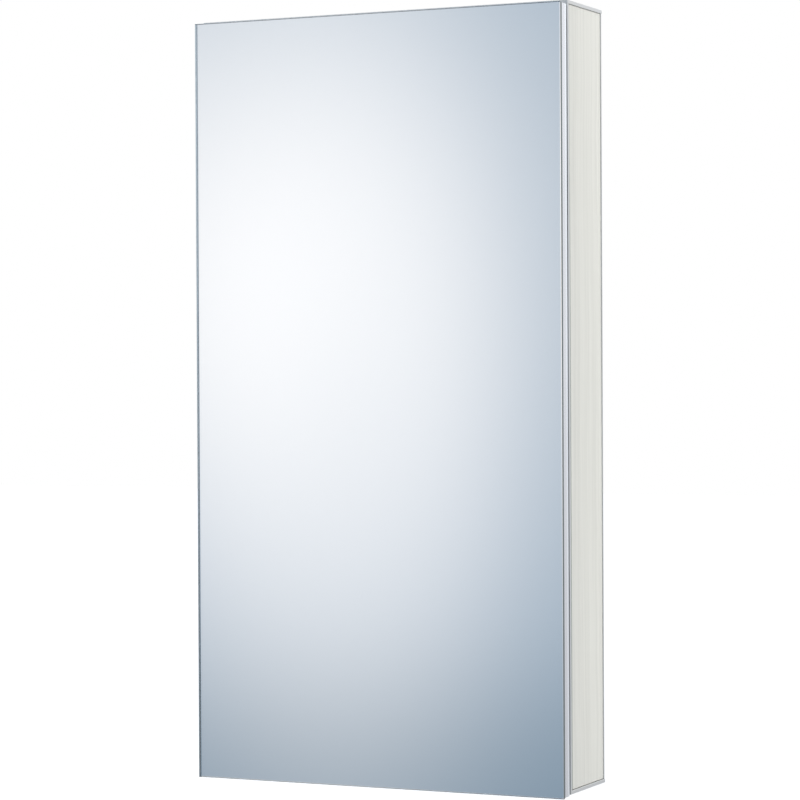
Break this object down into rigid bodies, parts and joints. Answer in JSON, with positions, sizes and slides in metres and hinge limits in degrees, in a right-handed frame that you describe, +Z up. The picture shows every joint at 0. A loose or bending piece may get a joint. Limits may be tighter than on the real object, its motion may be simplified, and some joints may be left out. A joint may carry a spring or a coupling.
{
  "type": "medicine cabinet",
  "caption": "Tall slim wall-hung medicine cabinet with a full-overlay mirror door on a side hinge, aluminium edges, pale grained sides and glass shelves inside.",
  "frame": {"origin": "centre of the rectangle of four wall-screw holes, on the wall plane at the back", "axes": "+X to the right as seen from the front, +Y back into the wall, +Z up; the door faces -Y"},
  "size_m": [0.4019, 0.111, 0.7653],
  "materials": {
    "satin_aluminium": "satin anodised, fine draw lines along its length",
    "bright_aluminium": "bright anodised, fine draw lines along its length",
    "white_laminate": "off-white, fine vertical grain, satin",
    "white_sheet": "pale satin film on a light composite sheet",
    "mirror_glass": "polished silvered float glass",
    "clear_glass": "clear float glass with polished edges",
    "stainless_hinge": "brushed stainless steel",
    "plated_steel": "bright zinc and nickel plating",
    "rivet_aluminium": "mill finish",
    "clear_silicone": "translucent soft silicone",
    "catch_plastic": "light grey moulded plastic",
    "dark_magnet": "dark sintered magnet with ground poles",
    "foam_tape": "closed-cell foam tape",
    "fibre_board": "light honeycomb board",
    "cast_key": "die-cast, as cast"
  },
  "bodies": {
    "cabinet": {"top_plate": "satin_aluminium", "bottom_plate": "satin_aluminium", "left_side_frame": "satin_aluminium", "right_side_frame": "satin_aluminium", "upper_wall_rail": "satin_aluminium", "lower_wall_rail": "satin_aluminium", "left_side_panel": "white_laminate", "right_side_panel": "white_laminate", "back_panel": "white_sheet", "back_mirror": "mirror_glass", "hinge_leaf_cabinet": "stainless_hinge", "hinge_pin": "stainless_hinge", "assembly_screws": "plated_steel", "hinge_screws_cabinet": "plated_steel", "catch_screws": "plated_steel", "shelf_pins": "plated_steel", "back_panel_rivets": "rivet_aluminium", "rail_rivets": "rivet_aluminium", "shelf_pin_sleeves": "clear_silicone", "door_bumpers": "clear_silicone", "catch_housings": "catch_plastic", "catch_magnets": "dark_magnet"},
    "door": {"door_mirror": "mirror_glass", "mirror_tape": "foam_tape", "door_stile_left": "bright_aluminium", "door_stile_right": "bright_aluminium", "door_rail_top": "bright_aluminium", "door_rail_bottom": "bright_aluminium", "door_corner_keys": "cast_key", "corner_key_screws": "plated_steel", "door_core": "fibre_board", "door_inner_mirror": "mirror_glass", "hinge_leaf_door": "stainless_hinge", "hinge_screws_door": "plated_steel", "strike_plates": "plated_steel", "strike_screws": "plated_steel"},
    "shelf_lower": {"glass_shelf_lower": "clear_glass"},
    "shelf_middle": {"glass_shelf_middle": "clear_glass"},
    "shelf_upper": {"glass_shelf_upper": "clear_glass"}
  },
  "joints": [
    {"name": "door_swing", "type": "hinge", "parent": "cabinet", "child": "door", "pos_m": [-0.2011, -0.0935, 0], "axis": [0, 0, -1], "range_deg": [0, 180]},
    {"name": "shelf_lower_lift", "type": "slide", "parent": "cabinet", "child": "shelf_lower", "axis": [0, 0, 1], "range_m": [0, 0.025]},
    {"name": "shelf_middle_lift", "type": "slide", "parent": "cabinet", "child": "shelf_middle", "axis": [0, 0, 1], "range_m": [0, 0.025]},
    {"name": "shelf_upper_lift", "type": "slide", "parent": "cabinet", "child": "shelf_upper", "axis": [0, 0, 1], "range_m": [0, 0.025]}
  ]
}
